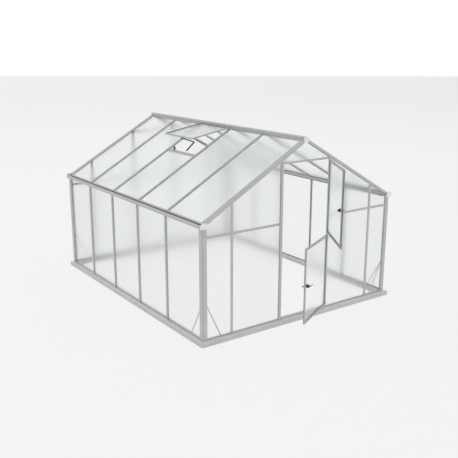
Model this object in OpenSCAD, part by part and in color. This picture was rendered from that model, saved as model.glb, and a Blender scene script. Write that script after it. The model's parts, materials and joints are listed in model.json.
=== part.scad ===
// Aluminium-framed greenhouse glazed in twin-wall polycarbonate, with a
// stable door in the front gable and one roof vent.
// Millimetres. X runs across the gable, Y along the building, Z up.
// Origin: underside of the front base rail, below the middle of the doorway.
// The front gable faces -Y.

/* [Plan] */
// Spacing of the long-wall studs and roof bars
bay_pitch = 720; // [640:10:800]
// Front end bay, from the first stud to the outer face of the corner post
end_bay = 820; // [760:4:880]
// Rear end bay, from the last stud to the outer face of the corner post
rear_bay = 766; // [750:4:880]
// Overall width over the corner posts
width = 3000; // [2800:20:3400]
// Distance of each outer gable stud from the centre line
gable_stud_x = 1108; // [1040:4:1180]
// Left outer stud of the front gable, from the centre line
front_stud_l = 1090; // [1050:4:1130]
// Right outer stud of the front gable, from the centre line
front_stud_r = 1126; // [1086:4:1142]
// Left edge of the doorway, from the centre line
door_l = 350; // [350:1:352]
// Right edge of the doorway, from the centre line
door_r = 385; // [385:1:386]

/* [Heights] */
// Height of the base rail
base_h = 62; // [50:1:75]
// Height of the wall top, at the underside of the gutter
wall_top = 1396; // [1350:2:1450]
// Height of the roof plane above the long-wall glazing
eaves_h = 1439; // [1425:1:1455]
// Height of the roof plane at the ridge
ridge_h = 2282; // [2262:1:2302]
// Height of the rail across the gable
mid_rail_h = 1290; // [1240:1:1340]
// Underside of the door lintel
lintel_z = 2011; // [2009:1:2012]

/* [Glazing] */
// Thickness of the polycarbonate sheets
sheet_t = 10; // [10:1:10]

/* [Door] */
// Bottom of the lower leaf
lower_z0 = 97; // [96:1:110]
// Top of the lower leaf
lower_z1 = 1051; // [1000:1:1060]
// Bottom of the upper leaf
upper_z0 = 1070; // [1068:1:1090]
// Top of the upper leaf
upper_z1 = 2004; // [1990:1:2004]
// Angle at which the lower leaf stands open
lower_open = 27.3; // [10:0.1:80]
// Angle at which the upper leaf stands open
upper_open = 59.0; // [10:0.1:80]
// Height of the lower handle
lower_handle_z = 563; // [520:1:700]
// Height of the upper handle
upper_handle_z = 1517; // [1450:1:1640]
// Spindle distance from the closing edge
backset = 95; // [90:1:110]

/* [Roof vent] */
// Length of the sash down the slope
vent_len = 620; // [600:1:660]
// Slope of the open sash below horizontal
vent_tilt = 10.1; // [5:0.1:15]

/* [Hidden] */

$fn = 48;
eps = 0.01;
hw = width / 2;                       // outer face of the corner posts, X
hl = 1.5 * bay_pitch + end_bay;       // outer face of the front gable, -Y
yr = 1.5 * bay_pitch + rear_bay;      // outer face of the rear gable, +Y
gi = 13;                              // post face to outer face of the sheets
go = gi + sheet_t;                    // post face to inner face of the sheets
xw = hw - gi - sheet_t / 2;           // middle of the long-wall glazing
pitch = atan((ridge_h - eaves_h) / xw);
slope_len = sqrt(pow(xw, 2) + pow(ridge_h - eaves_h, 2));
base_out = 35;                        // base rail beyond the posts
base_in = 55;                         // base rail inside the post face
fy = hl + base_out - (base_out + base_in) / 2; // origin to the middle stud bay
stud_ys = [-1.5 * bay_pitch, -0.5 * bay_pitch, 0.5 * bay_pitch, 1.5 * bay_pitch];

// roof plane height at distance x from the centre line
function roof_z(x) = ridge_h - abs(x) * tan(pitch);
// height at x of a plane n below the roof plane, measured square to it
function under(x, n) = roof_z(x) - n / cos(pitch);

// colours
alu = [0.66, 0.67, 0.67];
steel = [0.68, 0.69, 0.69];
clear = [0.90, 0.92, 0.90, 0.55];
pale = [0.85, 0.86, 0.85];
dark = [0.16, 0.16, 0.17];

// ---------------------------------------------------------------- placing
module site() translate([0, fy, 0]) children();
module at_side(s) if (s < 0) children(); else mirror([1, 0, 0]) children();
module at_end(e) if (e < 0) children(); else translate([0, yr - hl, 0]) mirror([0, 1, 0]) children();
// local X up the left roof slope, local Z square out of it
module slope() translate([-xw, 0, eaves_h]) rotate([0, -pitch, 0]) children();
// extrude a [y, n] outline up the slope from s0 to s1
module up_slope(s0, s1) translate([s0, 0, 0]) rotate([90, 0, 90]) linear_extrude(s1 - s0) children();
// extrude an [x, z] outline along Y from y0 to y1
module along_y(y0, y1) translate([0, y1, 0]) rotate([90, 0, 0]) linear_extrude(y1 - y0) children();
// box from corner to corner
module bx(a, b) translate(a) cube([b[0] - a[0], b[1] - a[1], b[2] - a[2]]);

// outline of a glazing bar with a cap outside and a flange inside: [depth, across]
function bar_outline(cap, d0, box) = [
  [d0, -cap / 2 + 4], [d0 + 1.2, -cap / 2 + 1.2], [d0 + 3.6, -cap / 2], [gi, -cap / 2], [gi, -4],
  [go, -4], [go, -box / 2], [go + 4, -box / 2], [go + 6, -box / 2 + 2],
  [go + 6, box / 2 - 2], [go + 4, box / 2], [go, box / 2], [go, 4], [gi, 4], [gi, cap / 2],
  [d0 + 3.6, cap / 2], [d0 + 1.2, cap / 2 - 1.2], [d0, cap / 2 - 4]
];

// ---------------------------------------------------------------- base
// cross-section of a base rail: [distance out from the post face, z]
base_sec = [
  [-base_in, 0], [base_out, 0], [base_out, 16], [base_out - 2, 18], [base_out - 2, 38],
  [base_out, 40], [base_out, 50], [base_out - 8, base_h - 4], [base_out - 14, base_h - 4],
  [base_out - 18, base_h], [-base_in, base_h]
];
module base_long() intersection() {
  translate([-hw, yr + 100, 0]) rotate([90, 0, 0]) linear_extrude(yr + hl + 200)
    polygon([for (p = base_sec) [-p[0], p[1]]]);
  linear_extrude(200, center = true) polygon([
    [-hw - base_out, -hl - base_out], [-hw - base_out, yr + base_out],
    [-hw + base_in, yr - base_in], [-hw + base_in, -hl + base_in]]);
}
module base_short() intersection() {
  translate([-hw - 100, -hl, 0]) rotate([90, 0, 90]) linear_extrude(2 * hw + 200)
    polygon([for (p = base_sec) [-p[0], p[1]]]);
  linear_extrude(200, center = true) polygon([
    [-hw - base_out, -hl - base_out], [hw + base_out, -hl - base_out],
    [hw - base_in, -hl + base_in], [-hw + base_in, -hl + base_in]]);
}
module base_rail_front() color(steel) site() base_short();
module base_rail_rear() color(steel) site() at_end(1) base_short();
module base_rail_left() color(steel) site() base_long();
module base_rail_right() color(steel) site() at_side(1) base_long();

// ---------------------------------------------------------------- corner posts
// outline from the outer corner: [in along X, in along Y]
module post() translate([-hw, -hl, base_h]) linear_extrude(wall_top - base_h) polygon([
  [14, 14], [8.5, 9.5], [4.5, 10.5], [1.2, 14.5], [0, 21], [0, 66], [0.8, 71], [4, 75.4], [8, 76],
  [gi, 76], [gi, 30], [go, 30], [go, 44], [27, 44], [27, 30], [30, 30],
  [30, 27], [44, 27], [44, go], [30, go], [30, gi], [64, gi], [64, 8], [63, 4], [59, 0.8],
  [54, 0], [21, 0], [14.5, 1.2], [10.5, 4.5], [9.5, 8.5]]);
module corner_posts_front() color(alu) site() { post(); at_side(1) post(); }
module corner_posts_rear() color(alu) site() at_end(1) { post(); at_side(1) post(); }

// ---------------------------------------------------------------- gutter and eaves beam
gut_out = 22;  // outer face of the gutter beyond the posts
gut_top = 1446;
module gutter() along_y(-hl, yr) polygon([
  [-hw - gut_out + 4, wall_top + 3], [-hw - gut_out + 8, wall_top], [-hw + 40, wall_top],
  [-hw + 40, under(hw - 40, sheet_t)], [-hw + gi, under(hw - gi, sheet_t)],
  [-hw + gi, wall_top + 5], [-hw - gut_out + 8, wall_top + 5],
  [-hw - gut_out + 6, gut_top - 24], [-hw - gut_out + 6, gut_top - 5], [-hw - gut_out + 8, gut_top - 3],
  [-hw - gut_out + 7, gut_top], [-hw - gut_out, gut_top], [-hw - gut_out, gut_top - 22]]);
module gutter_left() color(alu) site() gutter();
module gutter_right() color(alu) site() at_side(1) gutter();
module gutter_cap() along_y(-hl - 15, -hl) polygon([
  [-hw - 24, 1394], [-hw + 60, 1394], [-hw + 60, 1462], [-hw + 34, 1465],
  [-hw + 6, 1463], [-hw - 14, 1454], [-hw - 24, 1442]]);
module gutter_end_caps() color(pale) site()
  for (s = [-1, 1], e = [-1, 1]) at_end(e) at_side(s) gutter_cap();

// ---------------------------------------------------------------- ridge
module ridge_beam() color(alu) site() along_y(-hl + 16, yr - 16) polygon([
  [0, 2310], [-29, 2302], [-35, 2298], [-37, 2294], [-37, 2291.5], [-30, 2290.5], [-30, 2283.5], [-37, 2282.5],
  [-37, 2272], [-30, 2268], [-30, under(30, -0.05)], [-6, under(6, -0.05)], [-6, 2240], [6, 2240], [6, under(6, -0.05)],
  [30, under(30, -0.05)], [30, 2268], [37, 2272],
  [37, 2282.5], [30, 2283.5], [30, 2290.5], [37, 2291.5], [37, 2294], [35, 2298], [29, 2302]]);
module ridge_cap() along_y(-hl + 5, -hl + 16) polygon([
  [-35, 2240], [-22, 2236], [22, 2236], [35, 2240], [36, 2294], [28, 2303], [0, 2311], [-28, 2303], [-36, 2294]]);
module ridge_end_caps() color(pale) site() for (e = [-1, 1]) at_end(e) ridge_cap();

// ---------------------------------------------------------------- gable rafters
// outline [y from the gable's outer face, n square to the roof]
rake_sec = [
  [4, -26], [4, 5], [7, 8], [66, 8], [69, 5], [69, 0], [32, 0], [32, -sheet_t], [40, -sheet_t],
  [40, -14], [30, -14], [30, -30], [go, -30], [go, -18], [gi, -18], [gi, -26]
];
module rake() intersection() {
  translate([0, -hl, 0]) slope() up_slope(-40, slope_len + 60) polygon(rake_sec);
  bx([-hw + 40, -hl, 1300], [-38, -hl + 100, 2400]);
}
module rafters_front() color(alu) site() { rake(); at_side(1) rake(); }
module rafters_rear() color(alu) site() at_end(1) { rake(); at_side(1) rake(); }

// ---------------------------------------------------------------- roof bars
roof_s0 = 8; // lower edge of the roof sheets, up the slope
module roof_bar() slope() {
  up_slope(2, 1658) polygon([[-11, 0], [11, 0], [11, 5], [9, 7.5], [6, 8], [-6, 8], [-9, 7.5], [-11, 5]]);
  up_slope(roof_s0, 1671) translate([-3.5, -sheet_t]) square([7, sheet_t]);
  up_slope(30, 1658) translate([-7, -sheet_t - 4]) square([14, 4]);
  up_slope(30, 1650) translate([-5, -sheet_t - 13]) square([10, 9]);
}
module roof_bars() for (y = stud_ys) translate([0, y, 0]) roof_bar();
module roof_bars_left() color(alu) site() roof_bars();
module roof_bars_right() color(alu) site() at_side(1) roof_bars();

// ---------------------------------------------------------------- wall studs
module wall_stud() translate([-hw, 0, base_h]) linear_extrude(wall_top - base_h)
  polygon(bar_outline(28, -3, 14));
module wall_studs() for (y = stud_ys) translate([0, y, 0]) wall_stud();
module wall_studs_left() color(alu) site() wall_studs();
module wall_studs_right() color(alu) site() at_side(1) wall_studs();

// ---------------------------------------------------------------- gable frame
// slab in the gable plane from x0 to x1, from z0 up to n below the roof plane
module gable_slab(x0, x1, z0, n, d0, d1) translate([0, -hl + d1, 0]) rotate([90, 0, 0])
  linear_extrude(d1 - d0) polygon([[x0, z0], [x1, z0], [x1, under(x1, n)], [x0, under(x0, n)]]);
module gable_stud(x, w) {
  gable_slab(x - w / 2, x + w / 2, base_h, 26, 4, gi);
  gable_slab(x - 4, x + 4, base_h, 18, gi, go);
  gable_slab(x - 7, x + 7, base_h, 30, go, go + 5);
}
gs_w = 30; // width of a gable stud
rear_stud_x = 377; // inner studs of the rear gable
module gable_studs_front() color(alu) site() { gable_stud(-front_stud_l, gs_w); gable_stud(front_stud_r, gs_w); }
module gable_studs_rear() color(alu) site() at_end(1)
  for (s = [-1, 1]) { gable_stud(s * gable_stud_x, gs_w); gable_stud(s * rear_stud_x, gs_w); }

// rail across the gable between x0 and x1
rail_h = 27;
module gable_rail(x0, x1, z) {
  bx([x0, -hl + 5, z - rail_h / 2], [x1, -hl + gi, z + rail_h / 2]);
  bx([x0, -hl + gi, z - 4], [x1, -hl + go, z + 4]);
  bx([x0, -hl + go, z - 8], [x1, -hl + go + 4, z + 8]);
}
lp = [-door_l - 32, -door_l]; // left door post, from and to
rp = [door_r, door_r + 18];   // right door post, from and to
module gable_rails_front() color(alu) site() {
  gable_rail(-hw + 64, -front_stud_l - gs_w / 2, mid_rail_h);
  gable_rail(-front_stud_l + gs_w / 2, lp[0], mid_rail_h);
  gable_rail(rp[1], front_stud_r - gs_w / 2, mid_rail_h);
  gable_rail(front_stud_r + gs_w / 2, hw - 64, mid_rail_h);
}
module gable_rails_rear() color(alu) site() at_end(1) {
  for (s = [-1, 1]) at_side(s) {
    gable_rail(-hw + 64, -gable_stud_x - gs_w / 2, mid_rail_h);
    gable_rail(-gable_stud_x + gs_w / 2, -rear_stud_x - gs_w / 2, mid_rail_h);
  }
  xi = rear_stud_x - gs_w / 2;
  gable_rail(-xi, xi, mid_rail_h);
  bx([-xi, -hl + 5, lintel_z], [xi, -hl + gi, lintel_z + 23]);
  bx([-xi, -hl + gi, lintel_z + 8], [xi, -hl + go, lintel_z + 16]);
  bx([-xi + 45, -hl + go, lintel_z + 4], [xi - 45, -hl + go + 4, lintel_z + 20]);
}

// door post between x0 and x1, with the web that holds the sheet from w0 to w1
module door_post(x0, x1, w0, w1, f0, f1) {
  gable_slab(x0, x1, base_h, 26, 0, gi);
  gable_slab(w0, w1, base_h, 18, gi, go);
  gable_slab(f0, f1, base_h, 30, go, go + 4);
}
module door_posts() color(alu) site() {
  door_post(lp[0], lp[1], lp[1] - 19, lp[1] - 9, lp[1] - 29, lp[1] - 9);
  door_post(rp[0], rp[1], rp[0] + 1, rp[0] + 10, rp[0] + 1, rp[1]);
}
module door_lintel() color(alu) site() {
  bx([-door_l, -hl, lintel_z], [door_r, -hl + gi, lintel_z + 23]);
  bx([-door_l, -hl + gi, lintel_z], [door_r, -hl + go, lintel_z + 12]);
}
module door_sill() color(alu) site() {
  translate([-door_l, -hl, base_h]) rotate([90, 0, 90]) linear_extrude(door_l + door_r)
    polygon([[0, 0], [46, 0], [46, 14], [30, 20], [8, 20], [0, 12]]);
}

// ---------------------------------------------------------------- corner braces
module brace_long() translate([-hw + go, -hl, 0]) rotate([90, 0, 90]) linear_extrude(4)
  polygon([[283, base_h], [300, base_h], [44, 521], [44, 491]]);
module brace_short() translate([-hw, -hl + go + 4, 0]) rotate([90, 0, 0]) linear_extrude(4)
  polygon([[258, base_h], [274, base_h], [44, 544], [44, 514]]);
module corner_braces() color(alu) site()
  for (s = [-1, 1], e = [-1, 1]) at_end(e) at_side(s) { brace_long(); brace_short(); }

// ---------------------------------------------------------------- wall panels
wall_edges = concat([-hl + 30], [for (y = stud_ys) y], [yr - 30]);
module wall_panels() for (i = [0 : 4])
  bx([-hw + gi, wall_edges[i] + (i == 0 ? 0 : 5), base_h],
     [-hw + go, wall_edges[i + 1] - (i == 4 ? 0 : 5), wall_top]);
module wall_panels_left() color(clear) site() wall_panels();
module wall_panels_right() color(clear) site() at_side(1) wall_panels();

// ---------------------------------------------------------------- gable panels
module gable_sheet(x0, x1, z0, z1) translate([0, -hl + go, 0]) rotate([90, 0, 0])
  linear_extrude(sheet_t) polygon(z1 > 0
    ? [[x0, z0], [x1, z0], [x1, z1], [x0, z1]]
    : [[x0, z0], [x1, z0], [x1, under(x1, 20)], [x0, under(x0, 20)]]);
// triangle under the ridge between x0 and x1, above z0
module apex_sheet(x0, x1, z0) translate([0, -hl + go, 0]) rotate([90, 0, 0]) linear_extrude(sheet_t)
  polygon([[x0, z0], [x1, z0], [x1, under(x1, 20)], [64, 2222], [-64, 2222], [x0, under(x0, 20)]]);
// outer upper sheet, notched under the eaves beam
module gable_eaves_sheet(x1, z0) translate([0, -hl + go, 0]) rotate([90, 0, 0]) linear_extrude(sheet_t)
  polygon([[-hw + 30, z0], [x1, z0], [x1, under(x1, 20)], [-hw + 40, under(hw - 40, 20)],
    [-hw + 40, wall_top], [-hw + 30, wall_top]]);
// the four sheets between the corner and the inner edge, on the left
module gable_side_sheets(outer, inner) {
  gable_sheet(-hw + 30, -outer - 5, base_h, mid_rail_h - 5);
  gable_eaves_sheet(-outer - 5, mid_rail_h + 5);
  gable_sheet(-outer + 5, -inner, base_h, mid_rail_h - 5);
  gable_sheet(-outer + 5, -inner, mid_rail_h + 5, 0);
}
module gable_panels_front() color(clear) site() {
  gable_side_sheets(front_stud_l, door_l + 20);
  at_side(1) gable_side_sheets(front_stud_r, door_r + 11);
  apex_sheet(-door_l - 8, door_r, lintel_z + 14);
}
module gable_panels_rear() color(clear) site() at_end(1) {
  xi = rear_stud_x - 5;
  for (s = [-1, 1]) at_side(s) gable_side_sheets(gable_stud_x, rear_stud_x + 5);
  gable_sheet(-xi, xi, base_h, mid_rail_h - 5);
  gable_sheet(-xi, xi, mid_rail_h + 5, lintel_z + 7);
  apex_sheet(-xi, xi, lintel_z + 17);
}

// ---------------------------------------------------------------- roof panels
vent_s = 1000; // lower edge of the vent opening, up the slope
roof_edges = concat([-hl + 33], [for (y = stud_ys) y], [yr - 33]);
module roof_panels(vent) slope() for (i = [0 : 4])
  bx([roof_s0, roof_edges[i] + (i == 0 ? 0 : 5), -sheet_t],
     [vent && i == 2 ? vent_s : 1671, roof_edges[i + 1] - (i == 4 ? 0 : 5), 0]);
module roof_panels_left() color(clear) site() roof_panels(true);
module roof_panels_right() color(clear) site() at_side(1) roof_panels(false);

// ---------------------------------------------------------------- roof vent
vy = bay_pitch / 2;
vent_hx = -44;
vent_hz = 2272;
module sash() translate([vent_hx, 0, vent_hz]) rotate([0, -vent_tilt, 0]) children();
module vent_sill() color(alu) site() slope() {
  bx([vent_s, -vy + 11, -24], [vent_s + 28, vy - 11, 5]);
}
sash_y = [-372, 332]; // sides of the sash
module vent_frame() color(alu) site() {
  sash() {
    difference() {
      bx([-vent_len, sash_y[0], -6], [-8, sash_y[1], 12]);
      bx([-vent_len + 18, sash_y[0] + 18, -20], [-26, sash_y[1] - 18, 20]);
    }
    for (y = [-280, 0, 280]) bx([-8, y - 20, -3], [-4, y + 20, 3]);
  }
  for (y = [-280, 0, 280]) {
    translate([vent_hx, y + 20, vent_hz]) rotate([90, 0, 0]) cylinder(h = 40, r = 5);
    bx([vent_hx, y - 20, vent_hz - 3], [-37, y + 20, vent_hz + 3]);
  }
}
module vent_panel() color(clear) site() sash() bx([-vent_len + 18, sash_y[0] + 18, -2], [-26, sash_y[1] - 18, 8]);

// flat arm with round ends between two points [x, z], between y0 and y1
module arm(a, b, w, y0, y1) {
  len = norm(b - a);
  ang = atan2(b[1] - a[1], b[0] - a[0]);
  translate([a[0], y1, a[1]]) rotate([90, 0, 0]) linear_extrude(y1 - y0) rotate(ang) {
    translate([0, -w / 2]) square([len, w]);
    circle(d = w);
    translate([len, 0]) circle(d = w);
  }
}
stay_y = -95;
stay_lo = [-573, 1972];
stay_mid = [-447, 2080];
stay_hi = [-646, 2150.4];
module vent_stay() color(dark) site() {
  arm(stay_lo, stay_mid, 18, stay_y - 8, stay_y);
  arm(stay_mid, stay_hi, 16, stay_y, stay_y + 8);
  // rivet through the elbow
  translate([stay_mid[0], stay_y, stay_mid[1]]) rotate([90, 0, 0]) cylinder(h = 11, r = 6);
}
// upright pin that the stay drops over when the sash is shut
module vent_catch() color(dark) site() translate([0, 190, 0]) rotate([90, 0, 0]) linear_extrude(12)
  polygon([[-606, under(606, -5)], [-578, under(578, -5)], [-580, 1962], [-583, 2000], [-593, 2000], [-596, 1960]]);

// ---------------------------------------------------------------- stable door
hinge_x = 386;        // hinge line
hinge_d = -13;        // hinge line in front of the gable face
lip_x0 = -366;        // closing edge of the leaf
lip_x1 = 378;         // hinge-side edge of the leaf
body_x = [-344, 379]; // part that enters the doorway, from and to
glass_x = [-336, 361]; // sheet of a leaf, from and to
leaf_d0 = -13;        // outer face of the closed leaf
leaf_d1 = -7;         // back of the overlapping lip
leaf_d2 = 10;         // inner face of the closed leaf
knuckle = 22;
// put a closed-leaf solid at its opening angle
module swing(a) translate([hinge_x, -hl + hinge_d, 0]) rotate([0, 0, a]) translate([-hinge_x, hl - hinge_d, 0]) children();
module leaf_frame(z0, z1) difference() {
  union() {
    bx([lip_x0, -hl + leaf_d0, z0], [lip_x1, -hl + leaf_d1, z1]);
    bx([body_x[0], -hl + leaf_d1, z0 + 5], [body_x[1], -hl + leaf_d2, z1 - 5]);
  }
  // the lip laps over the edge of the sheet
  bx([lip_x0 + 31, -hl - 50, z0 + 27], [lip_x1 - 22, -hl + 50, z1 - 27]);
  bx([glass_x[0], -hl + leaf_d1, z0 + 22], [glass_x[1], -hl + 50, z1 - 22]);
}
spx = lip_x0 + backset; // spindle
module leaf_panel(z0, z1, hz) difference() {
  bx([glass_x[0], -hl + leaf_d1, z0 + 22], [glass_x[1], -hl + leaf_d1 + sheet_t, z1 - 22]);
  translate([spx, -hl + 40, hz]) rotate([90, 0, 0]) cylinder(h = 80, r = 11);
}
// hinge strap and knuckle on the leaf, with a running bore over the pin
module leaf_knuckle(z) {
  difference() {
    union() {
      translate([hinge_x, -hl + hinge_d, z]) cylinder(h = knuckle, r = 6);
      bx([lip_x1 - 24, -hl + leaf_d0 - 4, z], [hinge_x, -hl + leaf_d0, z + knuckle]);
    }
    translate([hinge_x, -hl + hinge_d, z - 1]) cylinder(h = knuckle + 2, r = 3.06);
  }
}
// round plates either side of the sheet, about the spindle
module roses(hz) for (d = [[leaf_d1 - 4, leaf_d1], [leaf_d1 + sheet_t, leaf_d1 + sheet_t + 4]])
  translate([spx, -hl + d[1], hz]) rotate([90, 0, 0]) difference() {
    cylinder(h = d[1] - d[0], r = 23);
    translate([0, 0, -1]) cylinder(h = 8, r = 8.3);
  }
module handle(hz) {
  translate([spx, -hl + 41, hz]) rotate([90, 0, 0]) cylinder(h = 41 + 46, r = 8);
  // outer lever towards the hinge
  bx([spx, -hl - 46, hz - 6], [spx + 95, -hl - 36, hz + 6]);
  // inner arm towards the closing edge
  bx([spx - 72, -hl + 29, hz - 7], [spx, -hl + 41, hz + 7]);
}
lower_hinges = [lower_z0 + 34, lower_z1 - 34];
upper_hinges = [upper_z0 + 34, upper_z1 - 34];
module door_hinge_pins() color(alu) site() for (z = concat(lower_hinges, upper_hinges)) {
  translate([hinge_x, -hl + hinge_d, z - knuckle - 0.5]) cylinder(h = knuckle, r = 6);
  translate([hinge_x, -hl + hinge_d, z - 0.5]) cylinder(h = knuckle + 3, r = 3);
  bx([hinge_x, -hl - 10, z - knuckle - 0.5], [rp[1], -hl, z - 0.5]);
}
module lower_leaf_frame() color(alu) site() swing(lower_open) leaf_frame(lower_z0, lower_z1);
module lower_leaf_panel() color(clear) site() swing(lower_open) leaf_panel(lower_z0, lower_z1, lower_handle_z);
module lower_leaf_fittings() color(dark) site() swing(lower_open) {
  for (z = lower_hinges) leaf_knuckle(z);
  roses(lower_handle_z);
}
module lower_leaf_handle() color(dark) site() swing(lower_open) handle(lower_handle_z);
module upper_leaf_frame() color(alu) site() swing(upper_open) leaf_frame(upper_z0, upper_z1);
module upper_leaf_panel() color(clear) site() swing(upper_open) leaf_panel(upper_z0, upper_z1, upper_handle_z);
module upper_leaf_fittings() color(dark) site() swing(upper_open) {
  for (z = upper_hinges) leaf_knuckle(z);
  roses(upper_handle_z);
}
module upper_leaf_handle() color(dark) site() swing(upper_open) handle(upper_handle_z);

base_rail_front();
base_rail_rear();
base_rail_left();
base_rail_right();
corner_posts_front();
corner_posts_rear();
gutter_left();
gutter_right();
gutter_end_caps();
ridge_beam();
ridge_end_caps();
rafters_front();
rafters_rear();
roof_bars_left();
roof_bars_right();
wall_studs_left();
wall_studs_right();
gable_studs_front();
gable_studs_rear();
gable_rails_front();
gable_rails_rear();
door_posts();
door_lintel();
door_sill();
corner_braces();
wall_panels_left();
wall_panels_right();
gable_panels_front();
gable_panels_rear();
roof_panels_left();
roof_panels_right();
vent_sill();
vent_frame();
vent_panel();
vent_stay();
vent_catch();
door_hinge_pins();
lower_leaf_frame();
lower_leaf_panel();
lower_leaf_fittings();
lower_leaf_handle();
upper_leaf_frame();
upper_leaf_panel();
upper_leaf_fittings();
upper_leaf_handle();
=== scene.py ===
import json
import math

import bmesh
import bpy
from mathutils import Matrix, Vector


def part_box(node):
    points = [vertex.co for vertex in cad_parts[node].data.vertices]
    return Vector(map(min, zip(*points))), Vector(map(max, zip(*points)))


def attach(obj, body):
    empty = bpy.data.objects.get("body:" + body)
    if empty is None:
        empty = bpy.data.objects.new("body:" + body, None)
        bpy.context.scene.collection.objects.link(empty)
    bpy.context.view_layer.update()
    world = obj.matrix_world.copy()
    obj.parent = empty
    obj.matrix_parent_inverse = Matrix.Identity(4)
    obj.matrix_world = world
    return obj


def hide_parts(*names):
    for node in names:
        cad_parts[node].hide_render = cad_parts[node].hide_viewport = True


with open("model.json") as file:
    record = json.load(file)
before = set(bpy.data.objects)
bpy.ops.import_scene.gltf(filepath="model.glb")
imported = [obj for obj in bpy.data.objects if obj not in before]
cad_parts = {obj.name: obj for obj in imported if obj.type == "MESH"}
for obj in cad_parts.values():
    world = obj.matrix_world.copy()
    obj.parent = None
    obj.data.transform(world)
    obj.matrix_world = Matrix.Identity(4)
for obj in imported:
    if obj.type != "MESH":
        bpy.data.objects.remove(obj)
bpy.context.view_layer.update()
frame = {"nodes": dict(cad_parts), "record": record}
nodes = frame["nodes"]
record = frame["record"]


# ------------------------------------------------------------------ places
# the first few of these are read from the imported nodes; all are in metres
post_lo, post_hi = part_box("corner_posts_front")
rear_lo, rear_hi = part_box("corner_posts_rear")
HW = post_hi.x                       # outer face of the corner posts, X
YF, YR = post_lo.y, rear_hi.y        # outer faces of the two gables
WALL_TOP = post_hi.z
BASE_H = post_lo.z
ridge_lo, ridge_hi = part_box("ridge_beam")
PITCH = math.atan2(0.843, 1.482)     # roof slope
XW, EAVES = 1.482, 1.439             # foot of the roof plane
COSP, SINP = math.cos(PITCH), math.sin(PITCH)
SHEET = 0.010
GI, GO = 0.013, 0.023                # faces of the wall sheets in from the posts
STUD_Y = [YF + 0.820 + k * 0.72 for k in range(4)]
HX, HY = 0.386, YF - 0.013           # hinge line of the door
OPEN = {"lower": math.radians(27.3), "upper": math.radians(59.0)}
LEAF_Z = {"lower": (0.097, 1.051), "upper": (1.070, 2.004)}
HANDLE_Z = {"lower": 0.563, "upper": 1.517}
LIP0, LIP1 = -0.366, 0.378           # edges of a closed leaf
GLASS0, GLASS1 = -0.336, 0.361       # edges of its sheet
SPX = -0.271                         # spindle
DOOR_L, DOOR_R = -0.350, 0.385       # doorway
STUD_X = {-1: (-1.090, 1.126), 1: (-1.108, 1.108)}   # outer studs of the front and rear gable
VENT_L, VENT_TILT = 0.620, math.radians(10.1)
SASH_Y = (-0.372, 0.332)             # sides of the sash, from the middle of its bay


def roof(side, s, y, n):
    """Point on a roof slope: s up it, n square out of it, on the left (-1) or right (1)."""
    x = -XW + s * COSP - n * SINP
    return Vector((x if side < 0 else -x, y, EAVES + s * SINP + n * COSP))


def on_leaf(leaf, x, d, z):
    """Point of the closed leaf, d in from the gable's outer face, put at its opening angle."""
    c, s = math.cos(OPEN[leaf]), math.sin(OPEN[leaf])
    dx, dy = x - HX, (YF + d) - HY
    return Vector((HX + c * dx - s * dy, HY + s * dx + c * dy, z))


# ------------------------------------------------------------------ camera
scene = bpy.context.scene
FY = 1.878
AZ, EL, ROLL = 0.6150438131, 0.2615364188, 0.0007373259
eye = Vector((-5.459838117, -8.006789235 + FY, 3.355074918))
fw = Vector((math.sin(AZ) * math.cos(EL), math.cos(AZ) * math.cos(EL), -math.sin(EL)))
rt = Vector((math.cos(AZ), -math.sin(AZ), 0.0))
up = rt.cross(fw)
cam_x = rt * math.cos(ROLL) + up * math.sin(ROLL)
cam_y = -rt * math.sin(ROLL) + up * math.cos(ROLL)
cam_data = bpy.data.cameras.new("camera")
cam_data.sensor_width = 36.0
cam_data.lens = 685.6589 / 458.0 * 36.0
cam_data.clip_end = 400.0
cam = bpy.data.objects.new("camera", cam_data)
scene.collection.objects.link(cam)
cam_m = Matrix((cam_x, cam_y, -fw)).transposed().to_4x4()
cam_m.translation = eye
cam.matrix_world = cam_m
scene.camera = cam
scene.view_settings.view_transform = "Standard"


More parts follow.
